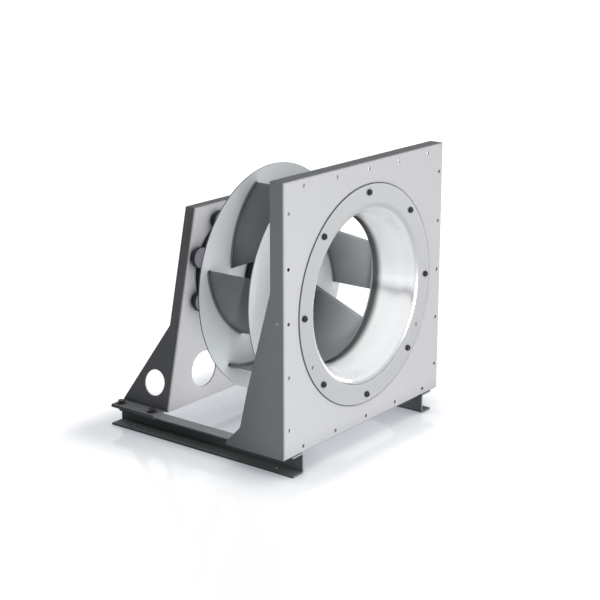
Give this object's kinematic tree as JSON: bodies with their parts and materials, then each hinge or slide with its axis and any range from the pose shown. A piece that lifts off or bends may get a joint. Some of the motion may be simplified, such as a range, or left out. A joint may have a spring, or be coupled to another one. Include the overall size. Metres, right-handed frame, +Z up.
{
  "type": "plug fan",
  "caption": "Direct-driven backward curved plug fan with a bell-mouth inlet in a square mounting panel, a motor on a folded support and two base rails.",
  "frame": {"origin": "on the floor, under the middle of the fan's box", "axes": "+Y is the air's way from the inlet to the motor along the fan's axis, +X to the right seen from the inlet, +Z up"},
  "size_m": [0.63, 0.5724, 0.68],
  "materials": {
    "panel_sheet": "matte pale grey coated sheet",
    "nozzle_sheet": "spun bright sheet, satin",
    "wheel_sheet": "satin grey coating",
    "rail_sheet": "matte grey coated channel",
    "motor_casting": "matte black casting",
    "rotor_steel": "satin black",
    "black_fasteners": "black coated steel",
    "zinc_fasteners": "zinc plated steel",
    "bearing_steel": "ground steel",
    "lamination": "stacked sheet",
    "winding": "enamelled copper wire",
    "magnet": "sintered magnet",
    "board": "coated circuit board",
    "black_plastic": "moulded plastic",
    "seal": "soft seal"
  },
  "bodies": {
    "frame": {"front_plate": "panel_sheet", "front_foot_bolts": "black_fasteners", "front_foot_washers": "black_fasteners", "front_foot_nuts": "black_fasteners", "inlet_nozzle": "nozzle_sheet", "nozzle_bolts": "black_fasteners", "nozzle_nuts": "zinc_fasteners", "pressure_taps": "zinc_fasteners", "left_rail": "rail_sheet", "right_rail": "rail_sheet", "rear_support": "panel_sheet", "rear_foot_bolts": "black_fasteners", "rear_foot_washers": "black_fasteners", "rear_foot_nuts": "black_fasteners", "motor_flange": "motor_casting", "motor_bolts": "zinc_fasteners", "motor_washers": "zinc_fasteners", "stator_core": "lamination", "stator_windings": "winding", "front_bearing_outer": "bearing_steel", "rear_bearing_outer": "bearing_steel", "bearing_spring": "zinc_fasteners", "electronics_housing": "motor_casting", "housing_screws": "zinc_fasteners", "cable_glands": "black_plastic", "control_board": "board", "terminal_block": "black_plastic", "cover_gasket": "seal", "terminal_cover": "motor_casting", "cover_screws": "zinc_fasteners"},
    "impeller": {"shroud": "wheel_sheet", "hub_disc": "wheel_sheet", "blade_1": "wheel_sheet", "blade_2": "wheel_sheet", "blade_3": "wheel_sheet", "blade_4": "wheel_sheet", "blade_5": "wheel_sheet", "blade_6": "wheel_sheet", "impeller_screws": "zinc_fasteners", "balance_weights": "zinc_fasteners", "rotor_can": "rotor_steel", "rotor_magnets": "magnet", "shaft": "bearing_steel", "shaft_circlip": "zinc_fasteners", "front_bearing_inner": "bearing_steel", "front_bearing_balls": "bearing_steel", "rear_bearing_inner": "bearing_steel", "rear_bearing_balls": "bearing_steel"}
  },
  "joints": [
    {"name": "impeller_spin", "type": "hinge", "parent": "frame", "child": "impeller", "pos_m": [0, -0.00355, 0.365], "axis": [0, 1, 0], "continuous": true}
  ]
}
